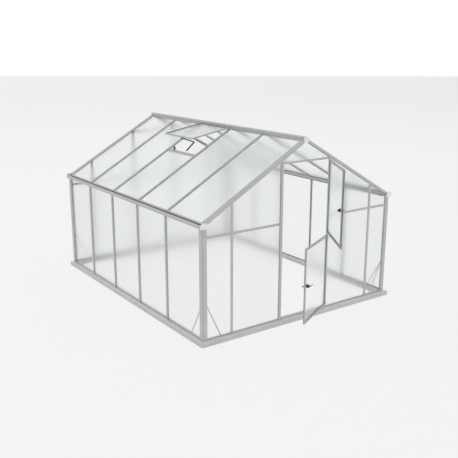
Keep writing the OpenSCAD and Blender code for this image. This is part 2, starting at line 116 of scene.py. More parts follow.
# ------------------------------------------------------------------ node helpers
class Tree:
    """A material's node tree with short ways to add nodes."""

    def __init__(self, name):
        self.mat = bpy.data.materials.new(name)
        self.mat.use_nodes = True
        self.nt = self.mat.node_tree
        self.bsdf = self.nt.nodes["Principled BSDF"]
        self.out = self.nt.nodes["Material Output"]
        tc = self.nt.nodes.new("ShaderNodeTexCoord")
        self.place = tc.outputs["Object"]

    def add(self, kind, inputs=(), **props):
        n = self.nt.nodes.new("ShaderNode" + kind)
        for k, v in props.items():
            setattr(n, k, v)
        for k, v in dict(inputs).items():
            self.set(n.inputs[k], v)
        return n

    def set(self, socket, v):
        if isinstance(v, bpy.types.NodeSocket):
            self.nt.links.new(v, socket)
        else:
            socket.default_value = v

    def math(self, op, a, b=0.0, clamp=False):
        n = self.add("Math", operation=op, use_clamp=clamp)
        self.set(n.inputs[0], a)
        self.set(n.inputs[1], b)
        return n.outputs[0]

    def dot(self, v):
        n = self.add("VectorMath", operation="DOT_PRODUCT")
        self.set(n.inputs[0], self.place)
        self.set(n.inputs[1], tuple(v))
        return n.outputs["Value"]

    def along(self, axis, k_long, k_across):
        """Coordinates stretched along an axis: k per metre along it and across it."""
        a = Vector(axis).normalized()
        b = a.orthogonal().normalized()
        c = a.cross(b)
        n = self.add("CombineXYZ")
        for i, (v, k) in enumerate(((a, k_long), (b, k_across), (c, k_across))):
            self.set(n.inputs[i], self.dot(v * k))
        return n.outputs[0]

    def noise(self, vector, scale=1.0, detail=2.0, rough=0.5):
        n = self.add("TexNoise", {"Vector": vector, "Scale": scale, "Detail": detail, "Roughness": rough})
        return n.outputs["Fac"]

    def remap(self, v, a0, a1, b0, b1, smooth=False):
        n = self.add("MapRange", {"Value": v, "From Min": a0, "From Max": a1, "To Min": b0, "To Max": b1},
                     interpolation_type="SMOOTHSTEP" if smooth else "LINEAR")
        return n.outputs["Result"]

    def mix(self, fac, a, b):
        n = self.add("Mix", data_type="RGBA")
        for i, v in ((0, fac), (6, a), (7, b)):
            self.set(n.inputs[i], (*v, 1.0) if isinstance(v, tuple) and len(v) == 3 else v)
        return n.outputs[2]

    def bump(self, height, strength, distance, normal=None):
        n = self.add("Bump", {"Height": height, "Strength": strength, "Distance": distance})
        if normal is not None:
            self.set(n.inputs["Normal"], normal)
        return n.outputs["Normal"]

    def edges(self, radius):
        """(normal with rounded edges, mask that is 1 on sharp edges)."""
        bev = self.add("Bevel", {"Radius": radius}, samples=4)
        geo = self.add("NewGeometry")
        d = self.add("VectorMath", operation="DOT_PRODUCT")
        self.set(d.inputs[0], bev.outputs["Normal"])
        self.set(d.inputs[1], geo.outputs["Normal"])
        return bev.outputs["Normal"], self.remap(d.outputs["Value"], 0.995, 0.80, 0.0, 1.0)


# ------------------------------------------------------------------ metal
def extruded(name, color, axis, rough=0.42, metal=0.45, cross=None, mask=None):
    """Mill-finish extrusion: die lines along axis, soft clouding, rubbed edges."""
    t = Tree(name)
    fine = t.noise(t.along(axis, 1.2, 420.0), detail=3.0, rough=0.6)
    if cross is not None:
        other = t.noise(t.along(cross, 1.2, 420.0), detail=3.0, rough=0.6)
        swap = mask(t)
        n = t.add("Mix", data_type="FLOAT")
        for i, v in ((0, swap), (2, fine), (3, other)):
            t.set(n.inputs[i], v)
        fine = n.outputs[0]
    cloud = t.noise(t.place, scale=5.0, detail=4.0)
    spots = t.noise(t.place, scale=90.0, detail=2.0)
    normal, edge = t.edges(0.0012)
    dark = tuple(c * 0.90 for c in color)
    light = tuple(min(1.0, c * 1.09) for c in color)
    tone = t.math("ADD", t.math("MULTIPLY", fine, 0.5), t.math("MULTIPLY", cloud, 0.5))
    base = t.mix(t.remap(tone, 0.33, 0.67, 0.0, 1.0), dark, light)
    base = t.mix(t.math("MULTIPLY", edge, 0.45), base, tuple(min(1.0, c * 1.35) for c in color))
    t.set(t.bsdf.inputs["Base Color"], base)
    r = t.math("ADD", t.remap(cloud, 0.3, 0.7, rough - 0.04, rough + 0.05),
               t.math("ADD", t.remap(spots, 0.35, 0.75, 0.0, 0.07), t.math("MULTIPLY", edge, -0.10)))
    t.set(t.bsdf.inputs["Roughness"], r)
    t.bsdf.inputs["Metallic"].default_value = metal
    t.set(t.bsdf.inputs["Normal"], t.bump(fine, 0.10, 0.0004, normal))
    return t.mat


ALU = (0.485, 0.490, 0.493)
slope_l = (COSP, 0.0, SINP)
slope_r = (-COSP, 0.0, SINP)
alu_x = extruded("aluminium_across", ALU, (1, 0, 0))
alu_y = extruded("aluminium_along", ALU, (0, 1, 0))
alu_z = extruded("aluminium_upright", ALU, (0, 0, 1))
alu_l = extruded("aluminium_slope_left", ALU, slope_l)
alu_r = extruded("aluminium_slope_right", ALU, slope_r)


def slope_side(t):
    return t.math("GREATER_THAN", t.dot((1, 0, 0)), 0.0)


alu_rake = extruded("aluminium_rakes", ALU, slope_l, cross=slope_r, mask=slope_side)


def leaf_alu(leaf):
    z0, z1 = LEAF_Z[leaf]
    a = OPEN[leaf]

    def on_rail(t):
        z = t.dot((0, 0, 1))
        return t.math("MAXIMUM", t.math("LESS_THAN", z, z0 + 0.027), t.math("GREATER_THAN", z, z1 - 0.027))

    return extruded("aluminium_leaf_" + leaf, tuple(c * 0.90 for c in ALU), (0, 0, 1), cross=(math.cos(a), math.sin(a), 0), mask=on_rail)


def galvanised(name, color, axis):
    """Zinc-coated folded steel: spangle, faint streaks along it, painted light on faces that point up, and painted
    shade in patches near the ground.
    """
    t = Tree(name)
    cells = t.add("TexVoronoi", {"Vector": t.place, "Scale": 75.0}, feature="F1")
    streak = t.noise(t.along(axis, 0.8, 160.0), detail=3.0)
    cloud = t.noise(t.place, scale=4.0, detail=5.0)
    normal, edge = t.edges(0.002)
    grey = t.add("RGBToBW", {"Color": cells.outputs["Color"]}).outputs[0]
    tone = t.math("ADD", t.math("MULTIPLY", grey, 0.35),
                  t.math("ADD", t.math("MULTIPLY", streak, 0.3), t.math("MULTIPLY", cloud, 0.35)))
    base = t.mix(t.remap(tone, 0.3, 0.7, 0.0, 1.0), tuple(c * 0.92 for c in color), tuple(c * 1.07 for c in color))
    # painted light: faces that point up are made up to 45% lighter than the rest
    up = t.add("NewGeometry").outputs["Normal"]
    lift = t.add("SeparateXYZ", {"Vector": up}).outputs[2]
    base = t.mix(t.remap(lift, 0.55, 0.98, 0.0, 1.0, smooth=True), base, tuple(min(1.0, c * TOP_PAINTED_LIGHT) for c in color))
    # painted shade: the bottom 22 mm of the rail goes darker in patches, where it meets the floor
    foot = t.remap(t.dot((0, 0, 1)), 0.0, 0.022, 0.30, 0.0, smooth=True)
    base = t.mix(t.math("MULTIPLY", foot, cloud), base, tuple(c * 0.62 for c in color))
    base = t.mix(t.math("MULTIPLY", edge, 0.4), base, tuple(min(1.0, c * 1.3) for c in color))
    t.set(t.bsdf.inputs["Base Color"], base)
    t.set(t.bsdf.inputs["Roughness"], t.remap(tone, 0.3, 0.7, 0.58, 0.44))
    t.bsdf.inputs["Metallic"].default_value = 0.7
    t.set(t.bsdf.inputs["Normal"], t.bump(t.math("ADD", grey, cloud), 0.08, 0.0004, normal))
    return t.mat


# how much lighter the painted light makes faces that point up
TOP_PAINTED_LIGHT = 1.45
STEEL = (0.540, 0.545, 0.548)
steel_x = galvanised("galvanised_across", STEEL, (1, 0, 0))
steel_y = galvanised("galvanised_along", STEEL, (0, 1, 0))


# ------------------------------------------------------------------ polycarbonate
RIB = 0.0105
GASKET = (0.62, 0.63, 0.62)
LIP_W = 0.0020
LEAF_SEAL = 0.0036


def twin_wall(name, across, along, tint, blur=0.36):
    """Translucent twin-wall sheet: webs along it every 10.5 mm, faint die streaks, a soft blur."""
    t = Tree(name)
    q = t.dot(across)
    web = t.math("PINGPONG", q, RIB / 2)
    line = t.remap(web, 0.0002, 0.0011, 1.0, 0.0, smooth=True)
    streak = t.noise(t.along(along, 0.35, 34.0), detail=3.0, rough=0.55)
    cloud = t.noise(t.place, scale=1.6, detail=3.0)
    body = t.mix(t.remap(streak, 0.3, 0.7, 0.0, 1.0), tuple(c * 0.990 for c in tint), tuple(min(1.0, c * 1.006) for c in tint))
    base = t.mix(t.math("MULTIPLY", line, 0.62), body, (0.80, 0.835, 0.81))
    t.set(t.bsdf.inputs["Base Color"], base)
    t.set(t.bsdf.inputs["Roughness"], t.math("ADD", t.remap(cloud, 0.3, 0.7, blur, blur + 0.06), t.math("MULTIPLY", line, 0.06)))
    wave = t.math("SINE", t.math("MULTIPLY", q, 2 * math.pi / RIB))
    t.set(t.bsdf.inputs["Normal"], t.bump(wave, 0.25, 0.00006))
    t.bsdf.inputs["Transmission Weight"].default_value = 1.0
    t.bsdf.inputs["IOR"].default_value = 1.06
    return t.mat


# painted light and shade: the leaf and roof sheets are the same polycarbonate as the wall sheets, tinted lighter than
# them to set how bright each renders
LEAF_TINT_PAINTED_LIGHTER = (0.990, 1.0, 0.992)
WALL_TINT = (0.948, 0.960, 0.945)
ROOF_TINT_PAINTED_LIGHTER = (0.976, 0.990, 0.974)
poly_y = twin_wall("polycarbonate_long", (0, 1, 0), (0, 0, 1), tint=WALL_TINT)
poly_roof_l = twin_wall("polycarbonate_roof_left", (0, 1, 0), slope_l, tint=ROOF_TINT_PAINTED_LIGHTER)
poly_roof_r = twin_wall("polycarbonate_roof_right", (0, 1, 0), slope_r, tint=ROOF_TINT_PAINTED_LIGHTER)
poly_x = twin_wall("polycarbonate_gable", (1, 0, 0), (0, 0, 1), tint=WALL_TINT)


def leaf_poly(leaf):
    a = OPEN[leaf]
    return twin_wall("polycarbonate_leaf_" + leaf, (math.cos(a), math.sin(a), 0), (0, 0, 1), tint=LEAF_TINT_PAINTED_LIGHTER, blur=0.48)


# ------------------------------------------------------------------ plastics
def moulded(name, color, rough, grain=900.0, lift=1.25):
    """Moulded plastic: fine spark-eroded grain, slight clouding, lighter rubbed edges."""
    t = Tree(name)
    cloud = t.noise(t.place, scale=14.0, detail=4.0)
    skin = t.noise(t.place, scale=grain, detail=2.0)
    normal, edge = t.edges(0.0018)
    base = t.mix(t.remap(cloud, 0.3, 0.7, 0.0, 1.0), tuple(c * 0.94 for c in color), tuple(min(1.0, c * 1.05) for c in color))
    base = t.mix(t.math("MULTIPLY", edge, 0.35), base, tuple(min(1.0, c * lift + 0.01) for c in color))
    t.set(t.bsdf.inputs["Base Color"], base)
    t.set(t.bsdf.inputs["Roughness"], t.remap(skin, 0.3, 0.7, rough - 0.05, rough + 0.06))
    t.set(t.bsdf.inputs["Normal"], t.bump(skin, 0.12, 0.0003, normal))
    return t.mat


def leaf_fittings(leaf):
    """Dark moulded roses, and zinc-grey hinges near the hinge line."""
    a = OPEN[leaf]
    t = Tree("fittings_" + leaf)
    cloud = t.noise(t.place, scale=14.0, detail=4.0)
    skin = t.noise(t.place, scale=900.0, detail=2.0)
    normal, edge = t.edges(0.0012)
    reach = t.math("SUBTRACT", t.dot((math.cos(a), math.sin(a), 0)), HX * math.cos(a) + HY * math.sin(a))
    hinge = t.math("GREATER_THAN", reach, -0.20)
    plain = t.mix(t.remap(cloud, 0.3, 0.7, 0.0, 1.0), (0.40, 0.405, 0.41), (0.50, 0.505, 0.51))
    black = t.mix(t.remap(cloud, 0.3, 0.7, 0.0, 1.0), (0.033, 0.033, 0.035), (0.038, 0.038, 0.040))
    base = t.mix(hinge, black, plain)
    base = t.mix(t.math("MULTIPLY", edge, 0.25), base, (0.55, 0.55, 0.56))
    t.set(t.bsdf.inputs["Base Color"], base)
    t.set(t.bsdf.inputs["Roughness"], t.remap(skin, 0.3, 0.7, 0.37, 0.48))
    t.set(t.bsdf.inputs["Metallic"], t.math("MULTIPLY", hinge, 0.45))
    t.set(t.bsdf.inputs["Normal"], t.bump(skin, 0.12, 0.0003, normal))
    return t.mat


caps = moulded("pale_caps", (0.78, 0.785, 0.78), 0.42, lift=1.12)
dark = moulded("dark_fittings", (0.035, 0.035, 0.037), 0.42, lift=2.2)


# ------------------------------------------------------------------ dress the CAD nodes
def dress(mat, *names):
    for n in names:
        mesh = nodes[n].data
        mesh.materials.clear()
        mesh.materials.append(mat)


dress(steel_x, "base_rail_front", "base_rail_rear")
dress(steel_y, "base_rail_left", "base_rail_right")
dress(alu_z, "corner_posts_front", "corner_posts_rear", "wall_studs_left", "wall_studs_right",
      "gable_studs_front", "gable_studs_rear", "door_posts", "corner_braces", "door_hinge_pins")
dress(alu_y, "gutter_left", "gutter_right", "ridge_beam", "vent_sill")
dress(alu_x, "gable_rails_front", "gable_rails_rear", "door_lintel", "door_sill")
dress(alu_rake, "rafters_front", "rafters_rear")
dress(alu_l, "roof_bars_left", "vent_frame")
dress(alu_r, "roof_bars_right")
dress(caps, "gutter_end_caps", "ridge_end_caps")
dress(poly_y, "wall_panels_left", "wall_panels_right", "vent_panel")
dress(poly_roof_l, "roof_panels_left")
dress(poly_roof_r, "roof_panels_right")
dress(poly_x, "gable_panels_front", "gable_panels_rear")
dress(dark, "vent_stay", "vent_catch")
for leaf in ("lower", "upper"):
    dress(leaf_alu(leaf), leaf + "_leaf_frame")
    dress(leaf_poly(leaf), leaf + "_leaf_panel")
    dress(leaf_fittings(leaf), leaf + "_leaf_fittings")
    dress(dark, leaf + "_leaf_handle")

# the sheets stand a hair clear of the bars that hold them
for name in [n for n in nodes if "_panel" in n]:
    m = nodes[name].modifiers.new("clear", "DISPLACE")
    m.mid_level = 0.0
    m.strength = -0.0006

# ------------------------------------------------------------------ mesh helpers
class Piece:
    """Collects closed solids into one mesh object."""

    def __init__(self):
        self.bm = bmesh.new()

    def solid(self, rings, close=True):
        """Skin over rings of points, with both ends capped."""
        loops = [[self.bm.verts.new(p) for p in ring] for ring in rings]
        k = len(loops[0])
        for a, b in zip(loops, loops[1:]):
            for i in range(k):
                j = (i + 1) % k
                self.bm.faces.new((a[i], a[j], b[j], b[i]))
        if close:
            self.bm.faces.new(loops[0])
            self.bm.faces.new(list(reversed(loops[-1])))

    def strip(self, outline, at, t0, t1):
        """Straight bar: outline of (u, v) pairs, at(u, v, t) gives the point."""
        self.solid([[at(u, v, t0) for u, v in outline], [at(u, v, t1) for u, v in outline]])

    def lathe(self, centre, axis, profile, sides=16):
        """Turned part: profile of (height along axis, radius) pairs."""
        a = Vector(axis).normalized()
        b = a.orthogonal().normalized()
        c = a.cross(b)
        rings = []
        for h, r in profile:
            rings.append([Vector(centre) + a * h + (b * math.cos(w) + c * math.sin(w)) * r
                          for w in (2 * math.pi * i / sides for i in range(sides))])
        self.solid(rings)

    def tube(self, centre, axis, profile, sides=28):
        """Turned part with a bore: closed profile of (height along axis, radius) pairs."""
        a = Vector(axis).normalized()
        b = a.orthogonal().normalized()
        c = a.cross(b)
        rings = []
        for h, r in profile:
            rings.append([Vector(centre) + a * h + (b * math.cos(w) + c * math.sin(w)) * r
                          for w in (2 * math.pi * i / sides for i in range(sides))])
        self.solid(rings + [rings[0]], close=False)
        bmesh.ops.remove_doubles(self.bm, verts=self.bm.verts, dist=1e-7)

    def screw(self, centre, axis, r=0.0042, h=0.0026):
        """Pan head with a washer rim and a recess."""
        self.lathe(centre, axis, ((0, r * 1.30), (0.0006, r * 1.30), (0.0006, r), (h * 0.55, r * 0.94), (h * 0.9, r * 0.72),
                                  (h, r * 0.42), (h * 0.45, r * 0.36)), sides=12)

    def nut(self, centre, axis, r=0.0065, h=0.0050):
        self.lathe(centre, axis, ((0, r * 1.25), (0.0009, r * 1.25)), sides=14)
        self.lathe(Vector(centre) + Vector(axis).normalized() * 0.0009, axis, ((0, r), (h * 0.8, r), (h, r * 0.82)), sides=6)
        self.lathe(Vector(centre) + Vector(axis).normalized() * (h + 0.0009), axis, ((0, r * 0.5), (0.0022, r * 0.5), (0.0028, r * 0.38)), sides=10)

    def done(self, name, mat, body, bevel=0.0, smooth=False):
        bmesh.ops.recalc_face_normals(self.bm, faces=self.bm.faces)
        me = bpy.data.meshes.new(name)
        self.bm.to_mesh(me)
        self.bm.free()
        if smooth:
            for p in me.polygons:
                p.use_smooth = True
        me.materials.append(mat)
        ob = bpy.data.objects.new(name, me)
        scene.collection.objects.link(ob)
        if bevel:
            m = ob.modifiers.new("round", "BEVEL")
            m.width = bevel
            m.segments = 2
            m.limit_method = "ANGLE"
            m.angle_limit = math.radians(40)
        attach(ob, body)
        return ob


def rect(u0, v0, u1, v1):
    return [(u0, v0), (u1, v0), (u1, v1), (u0, v1)]


def rounded(u0, v0, u1, v1, r):
    return [(u0 + r, v0), (u1 - r, v0), (u1, v0 + r), (u1, v1 - r), (u1 - r, v1), (u0 + r, v1), (u0, v1 - r), (u0, v0 + r)]


# ------------------------------------------------------------------ extra finishes
def rubber(name, color, axis=None):
    """Extruded rubber: faint lengthwise lines and a dusty bloom."""
    t = Tree(name)
    dust = t.noise(t.place, scale=22.0, detail=4.0)
    lines = t.noise(t.place if axis is None else t.along(axis, 2.0, 900.0), scale=1.0 if axis else 300.0, detail=2.0)
    base = t.mix(t.remap(dust, 0.40, 0.72, 0.0, 0.5), color, tuple(min(1.0, c * 1.9 + 0.02) for c in color))
    t.set(t.bsdf.inputs["Base Color"], base)
    t.set(t.bsdf.inputs["Roughness"], t.remap(dust, 0.3, 0.7, 0.62, 0.78))
    t.set(t.bsdf.inputs["Normal"], t.bump(lines, 0.15, 0.0003))
    return t.mat


seal_dark = rubber("rubber_dark", (0.045, 0.047, 0.047))
gasket_pale = rubber("rubber_pale", GASKET)
seal_mid = rubber("rubber_mid", (0.15, 0.155, 0.155))
alu_brace = extruded("aluminium_braces", (0.58, 0.59, 0.59), (0, 0, 1), rough=0.5, metal=0.05)
bright = extruded("screw_steel", (0.52, 0.525, 0.53), (0, 0, 1), rough=0.32, metal=0.9)

# spans between the roof bars and between the wall studs, along Y
ROOF_Y = [YF + 0.0695] + STUD_Y + [YR - 0.0695]
BAYS = []
for i in range(5):
    BAYS.append((ROOF_Y[i] + (0.0 if i == 0 else 0.0115), ROOF_Y[i + 1] - (0.0 if i == 4 else 0.0115)))
WALL_Y = [YF + 0.0765] + STUD_Y + [YR - 0.0765]
WALL_BAYS = []
for i in range(5):
    WALL_BAYS.append((WALL_Y[i] + (0.0 if i == 0 else 0.0143), WALL_Y[i + 1] - (0.0 if i == 4 else 0.0143)))

for side, tag in ((-1, "left"), (1, "right")):
    def on_roof(s_, n_, y_, side=side):
        return roof(side, s_, y_, n_)

    # aluminium closing profile on the lower edge of the roof sheets
    trim = Piece()
    shade_strip = Piece()
    for y0, y1 in BAYS:
        trim.strip([(0.0052, -0.0034), (0.0078, -0.0034), (0.0078, 0.0001), (0.0300, 0.0001), (0.0306, 0.0009),
                    (0.0300, 0.0014), (0.0066, 0.0016), (0.0052, 0.0004)], on_roof, y0, y1)
        # dark rubber strip under it, down to the eaves beam, as painted shade: it stands in for the shade in the slit
        # under the sheet's edge
        shade_strip.strip([(-0.0020, -0.0099), (0.0074, -0.0099), (0.0074, -0.0036), (0.0040, -0.0036), (0.0014, -0.0060),
                    (-0.0020, -0.0078)], on_roof, y0, y1)
    trim.done("roof_edge_trim_" + tag, alu_y, "greenhouse")
    shade_strip.done("roof_edge_shade_strip_" + tag, seal_dark, "greenhouse")

    # channel that closes the lower edge of the long-wall sheets
    def on_wall(d, z, y_, side=side):
        x = -HW + d
        return Vector((x if side < 0 else -x, y_, z))

    foot = Piece()
    for y0, y1 in WALL_BAYS:
        foot.strip([(0.0040, BASE_H), (GI - 0.0002, BASE_H), (GI - 0.0002, BASE_H + 0.016), (0.0114, BASE_H + 0.0166),
                    (0.0108, BASE_H + 0.0156), (0.0108, BASE_H + 0.0020), (0.0040, BASE_H + 0.0012)], on_wall, y0, y1)
    foot.done("wall_glazing_channel_" + tag, alu_y, "greenhouse")

    # lip gaskets either side of each stud, on the sheets
    lips = Piece()
    for y in STUD_Y:
        for e in (-1, 1):
            lips.strip([(GI - 0.0022, 0.0141), (GI - 0.0001, 0.0141), (GI - 0.0001, 0.0141 + LIP_W), (GI - 0.0009, 0.0141 + LIP_W)],
                       lambda d, w, z, y=y, e=e: on_wall(d, z, y + e * w), BASE_H + 0.0168, WALL_TOP - 0.001)
    lips.done("wall_gaskets_" + tag, gasket_pale, "greenhouse")

    # and either side of each roof bar
    lips = Piece()
    for k, y in enumerate(STUD_Y):
        for e in (-1, 1):
            lips.strip([(0.0111, 0.0001), (0.0111 + LIP_W, 0.0001), (0.0111 + LIP_W, 0.0007), (0.0111, 0.0020)],
                       lambda w, n, s_, y=y, e=e: on_roof(s_, n, y + e * w), 0.0308, 1.655)
    lips.done("roof_gaskets_" + tag, gasket_pale, "greenhouse")


# ------------------------------------------------------------------ gable details
def on_gable(end):
    """Point of a gable wall: x, d in from its outer face, z."""
    return lambda x, d, z: Vector((x, YF + d if end < 0 else YR - d, z))


for end, tag in ((-1, "front"), (1, "rear")):
    g = on_gable(end)
    inner = [(DOOR_L - 0.032, DOOR_R + 0.018)] if end < 0 else [(-0.392, 0.392)]
    sl, sr = STUD_X[end]
    spans = [(-HW + 0.0655, sl - 0.0152), (sl + 0.0152, inner[0][0] - 0.0002),
             (inner[0][1] + 0.0002, sr - 0.0152), (sr + 0.0152, HW - 0.0655)]
    if end > 0:
        spans.append((-0.3618, 0.3618))
    foot = Piece()
    for x0, x1 in spans:
        foot.strip([(0.0050, BASE_H), (GI - 0.0002, BASE_H), (GI - 0.0002, BASE_H + 0.016), (0.0114, BASE_H + 0.0166),
                    (0.0108, BASE_H + 0.0156), (0.0108, BASE_H + 0.0020), (0.0050, BASE_H + 0.0012)],
                   lambda d, z, x: g(x, d, z), x0, x1)
    foot.done("gable_glazing_channel_" + tag, alu_x, "greenhouse")

    lips = Piece()
    ups = [(sl, 0.0152), (sr, 0.0152)]
    ups += [(-0.377, 0.0152), (0.377, 0.0152)] if end > 0 else []
    for x, w0 in ups:
        for e in (-1, 1):
            xe = x + e * w0
            top = EAVES + (XW - abs(xe)) * math.tan(PITCH) - 0.034
            for z0, z1 in ((BASE_H + 0.0168, 1.276), (1.304, top)):
                lips.strip([(GI - 0.0022, 0.0), (GI - 0.0001, 0.0), (GI - 0.0001, LIP_W), (GI - 0.0009, LIP_W)],
                           lambda d, w, z, xe=xe, e=e: g(xe + e * w, d, z), z0, z1)
    # along the mid rails
    for x0, x1 in spans:
        for e in (-1, 1):
            lips.strip([(GI - 0.0022, 0.0), (GI - 0.0001, 0.0), (GI - 0.0001, LIP_W), (GI - 0.0009, LIP_W)],
                       lambda d, w, x, e=e: g(x, d, 1.290 + e * (0.0137 + w)), x0, x1)
    lips.done("gable_gaskets_" + tag, gasket_pale, "greenhouse")

# ------------------------------------------------------------------ fixings of the frame
bolts = Piece()
for end in (-1, 1):
    g = on_gable(end)
    out = Vector((0, -1 if end < 0 else 1, 0))
    for sx in (-1, 1):
        side_out = Vector((sx, 0, 0))
        # through the corner posts into the base rail and the gutter beam
        for z in (BASE_H + 0.030, BASE_H + 0.075, WALL_TOP - 0.030, WALL_TOP - 0.075):
            bolts.screw(g(sx * (HW - 0.040), 0.0, z), out)
            bolts.screw(Vector((sx * HW, (YF + 0.046) if end < 0 else (YR - 0.046), z)), side_out)
        # feet and heads of the braces, on their inner faces
        for along_g, z in ((0.262, BASE_H + 0.012), (0.050, 0.520)):
            bolts.nut(g(sx * (HW - along_g), 0.0270, z), -out, r=0.0050)
        for along_w, z in ((0.288, BASE_H + 0.012), (0.050, 0.498)):
            bolts.nut(Vector((sx * (HW - 0.0270), (YF + along_w) if end < 0 else (YR - along_w), z)), -side_out, r=0.0050)
        # gable studs to the base rail, and the mid rails to the studs
        for z in (BASE_H + 0.022, 1.290):
            bolts.screw(g(STUD_X[end][0 if sx < 0 else 1], 0.0040, z), out, r=0.0036)
        bolts.screw(g(sx * (HW - 0.080), 0.0050, 1.290), out, r=0.0036)
    # gutter end caps and ridge caps
    for sx in (-1, 1):
        for dx, z in ((-0.012, 1.408), (0.044, 1.408), (0.040, 1.448)):
            bolts.screw(g(sx * (HW - dx), -0.015, z), out, r=0.0030)
for side in (-1, 1):
    o = Vector((side, 0, 0))
    for y in STUD_Y:
        for z in (BASE_H + 0.024, WALL_TOP - 0.020):
            bolts.screw(Vector((side * (HW + 0.003), y, z)), o, r=0.0034)
        nrm = roof(side, 0, 0, 1) - roof(side, 0, 0, 0)
        for s_ in (0.030, 0.60, 1.15, 1.63):
            bolts.screw(roof(side, s_, y, 0.008), nrm, r=0.0032)
    # base rail corner plates
    for y in (YF + 0.10, YF + 0.16, YR - 0.10, YR - 0.16):
        bolts.nut(Vector((side * (HW + 0.033), y, 0.028)), o, r=0.0060)
for y, o in ((YF - 0.033, -1), (YR + 0.033, 1)):
    for x in (-HW + 0.10, -HW + 0.16, HW - 0.16, HW - 0.10):
        bolts.nut(Vector((x, y, 0.028)), (0, o, 0), r=0.0060)
# hinge brackets, lintel and sill
g = on_gable(-1)
for z in [LEAF_Z[k][i] + (0.034 if i == 0 else -0.034) for k in LEAF_Z for i in (0, 1)]:
    for dz in (-0.0058, -0.0166):
        bolts.screw(g(0.3970, -0.0100, z + dz), (0, -1, 0), r=0.0028, h=0.0020)
for x in (-0.300, 0.0, 0.335):
    bolts.screw(g(x, 0.0, 2.0225), (0, -1, 0), r=0.0030)
bolts.done("frame_screws", bright, "greenhouse")

# braces: flat bars with eased edges, just clear of the sheets
braces = Piece()


def flat_bar(ring, at):
    """Bar in the plane of ring, from depth 24.6 to 27 mm, with eased edges."""
    cu = sum(q[0] for q in ring) / len(ring)
    cv = sum(q[1] for q in ring) / len(ring)

    def shrunk(e):
        return [(u + math.copysign(e, cu - u) * 0.4, v + math.copysign(e, cv - v) * 0.4) for u, v in ring]

    braces.solid([[at(u, v, d) for u, v in r] for d, r in
                  ((0.0246, shrunk(0.0012)), (0.0250, ring), (0.0266, ring), (0.0270, shrunk(0.0012)))])


LONG = [(0.283, BASE_H), (0.300, BASE_H), (0.044, 0.521), (0.044, 0.491)]
SHORT = [(0.258, BASE_H), (0.274, BASE_H), (0.044, 0.544), (0.044, 0.514)]
for end in (-1, 1):
    for sx in (-1, 1):
        flat_bar(LONG, lambda u, v, d: Vector((sx * (HW - d), YF + u if end < 0 else YR - u, v)))
        flat_bar(SHORT, lambda u, v, d: Vector((sx * (HW - u), YF + d if end < 0 else YR - d, v)))
bars = braces.done("corner_brace_bars", alu_brace, "greenhouse")
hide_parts("corner_braces")

# keepers of the two latches, on the inner side of the left door post
keep = Piece()
for z in HANDLE_Z.values():
    keep.strip(rounded(0.0012, z - 0.030, 0.0118, z + 0.030, 0.0025), lambda d, zz, x: g(x, d, zz), DOOR_L + 0.0001, DOOR_L + 0.0009)
keep.done("latch_keepers", dark, "greenhouse")

# ------------------------------------------------------------------ eaves from inside
for side, tag in ((-1, "left"), (1, "right")):
    lip = Piece()

    def inside(d, z, y_, side=side):
        x = -HW + d
        return Vector((x if side < 0 else -x, y_, z))

    lip.strip([(0.0402, WALL_TOP + 0.0002), (0.0402, WALL_TOP + 0.0042), (0.0440, WALL_TOP + 0.0030), (0.0450, WALL_TOP - 0.0030),
               (0.0300, WALL_TOP - 0.0030), (0.0300, WALL_TOP - 0.0002)], inside, YF + 0.078, YR - 0.078)
    lip.done("eaves_seal_" + tag, seal_dark, "greenhouse")


# ------------------------------------------------------------------ roof vent
def on_sash(u, n, y_):
    """Point of the open sash: u from the hinge down its length (0 to -VENT_L), n square out of it."""
    c, s_ = math.cos(VENT_TILT), math.sin(VENT_TILT)
    return Vector((-0.044 + u * c - n * s_, y_, 2.272 + u * s_ + n * c))


VY = YF + 1.900
seal = Piece()
u0, u1 = -VENT_L + 0.018, -0.026
w0, w1 = SASH_Y[0] + 0.018, SASH_Y[1] - 0.018
for n0, n1 in ((0.0081, 0.0096), (-0.0036, -0.0021)):
    k = 0.0050
    for a, b in ((u0, u0 + k), (u1 - k, u1)):
        seal.strip(rect(a, n0, b, n1), lambda u, n, y_: on_sash(u, n, VY + y_), w0 + 0.0001, w1 - 0.0001)
    for a, b in ((w0, w0 + k), (w1 - k, w1)):
        seal.strip(rect(a, n0, b, n1), lambda v, n, u: on_sash(u, n, VY + v), u0 + k + 0.0001, u1 - k - 0.0001)
seal.done("vent_gaskets", seal_dark, "greenhouse")
rivets = Piece()
flat = Vector((0, -1, 0))
for x, z in ((-0.573, 1.972), (-0.447, 2.080), (-0.646, 2.1504)):
    rivets.lathe((x, VY - 0.095 - 0.0112, z), flat, ((0, 0.0062), (0.0012, 0.0060), (0.0028, 0.0040), (0.0034, 0.0018)), sides=14)
for x, z in ((-0.573, 1.972), (-0.447, 2.080), (-0.646, 2.1504)):
    rivets.lathe((x, VY - 0.0868, z), -flat, ((0, 0.0050), (0.0014, 0.0046), (0.0022, 0.0026)), sides=12)
for y_ in (-0.28, 0.0, 0.28):
    for e in (-0.012, 0.012):
        rivets.lathe(on_sash(-0.0170, 0.0120, VY + y_ + e), on_sash(0, 1, 0) - on_sash(0, 0, 0), ((0, 0.0034), (0.0010, 0.0031), (0.0016, 0.0016)), sides=10)
rivets.done("vent_rivets", bright, "greenhouse")

